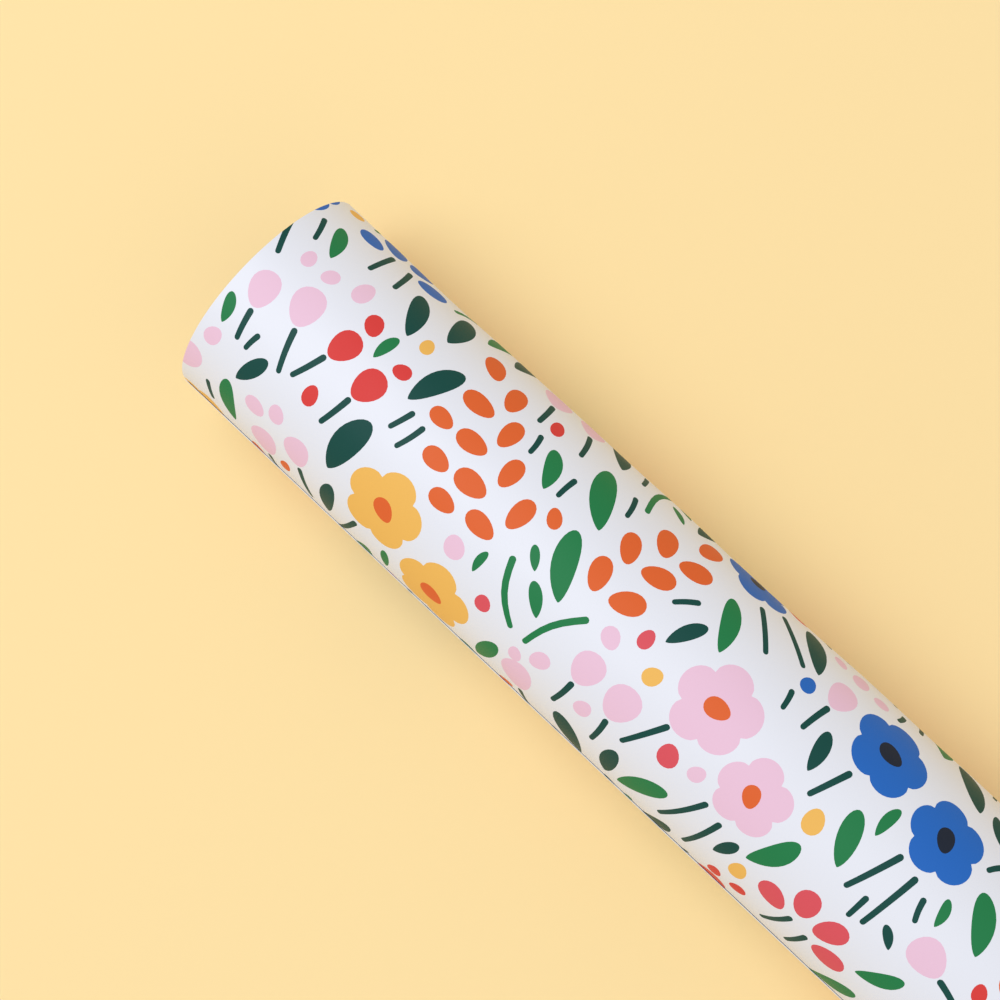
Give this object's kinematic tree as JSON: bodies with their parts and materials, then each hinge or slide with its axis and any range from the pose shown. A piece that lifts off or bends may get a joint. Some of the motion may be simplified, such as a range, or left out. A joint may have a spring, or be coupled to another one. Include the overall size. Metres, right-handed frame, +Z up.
{
  "type": "wrapping paper roll",
  "caption": "Gift wrapping paper wound on a spiral cardboard core, with a printed floral face and a free edge that uncurls from under the roll.",
  "frame": {"origin": "middle of the core's bore, on the roll's axis", "axes": "+X along the roll, +Z up with the roll lying down, and the sheet's free edge on the -Y side"},
  "size_m": [0.762, 0.0503, 0.0499],
  "materials": {
    "core_board": "matt grey-brown board",
    "wrapping_paper": "satin coated white, printed on the outer face",
    "clear_tape": "clear gloss film"
  },
  "bodies": {
    "roll": {"wound_paper": "wrapping_paper", "outer_turn": "wrapping_paper"},
    "core": {"core_inner_liner": "core_board", "core_middle_ply": "core_board", "core_outer_liner": "core_board"},
    "tail_1": {"tail_segment_1": "wrapping_paper"},
    "tail_2": {"tail_segment_2": "wrapping_paper"},
    "tail_3": {"tail_segment_3": "wrapping_paper"},
    "tail_4": {"tail_segment_4": "wrapping_paper"},
    "tail_5": {"tail_segment_5": "wrapping_paper"},
    "tail_6": {"tail_segment_6": "wrapping_paper", "tape_tab_left": "clear_tape", "tape_tab_right": "clear_tape"}
  },
  "joints": [
    {"name": "core_slide", "type": "slide", "parent": "roll", "child": "core", "axis": [1, 0, 0], "range_m": [-0.7, 0.7]},
    {"name": "tail_curl_1", "type": "hinge", "parent": "roll", "child": "tail_1", "pos_m": [0, -0.00348, -0.02476], "axis": [1, 0, 0], "range_deg": [0, 15], "stiffness_Nm_per_rad": 0.002, "springref_deg": -14.9},
    {"name": "tail_curl_2", "type": "hinge", "parent": "tail_1", "child": "tail_2", "pos_m": [0, -0.00977, -0.02301], "axis": [1, 0, 0], "range_deg": [0, 15], "stiffness_Nm_per_rad": 0.002, "springref_deg": -14.9},
    {"name": "tail_curl_3", "type": "hinge", "parent": "tail_2", "child": "tail_3", "pos_m": [0, -0.01539, -0.0197], "axis": [1, 0, 0], "range_deg": [0, 15], "stiffness_Nm_per_rad": 0.002, "springref_deg": -14.9},
    {"name": "tail_curl_4", "type": "hinge", "parent": "tail_3", "child": "tail_4", "pos_m": [0, -0.01997, -0.01505], "axis": [1, 0, 0], "range_deg": [0, 15], "stiffness_Nm_per_rad": 0.002, "springref_deg": -14.9},
    {"name": "tail_curl_5", "type": "hinge", "parent": "tail_4", "child": "tail_5", "pos_m": [0, -0.02318, -0.00937], "axis": [1, 0, 0], "range_deg": [0, 15], "stiffness_Nm_per_rad": 0.002, "springref_deg": -14.9},
    {"name": "tail_curl_6", "type": "hinge", "parent": "tail_5", "child": "tail_6", "pos_m": [0, -0.02481, -0.00305], "axis": [1, 0, 0], "range_deg": [0, 15], "stiffness_Nm_per_rad": 0.002, "springref_deg": -14.9}
  ],
  "couplings": [
    {"joint": "tail_curl_2", "follows": "tail_curl_1", "ratio": 1},
    {"joint": "tail_curl_3", "follows": "tail_curl_1", "ratio": 1},
    {"joint": "tail_curl_4", "follows": "tail_curl_1", "ratio": 1},
    {"joint": "tail_curl_5", "follows": "tail_curl_1", "ratio": 1},
    {"joint": "tail_curl_6", "follows": "tail_curl_1", "ratio": 1}
  ]
}
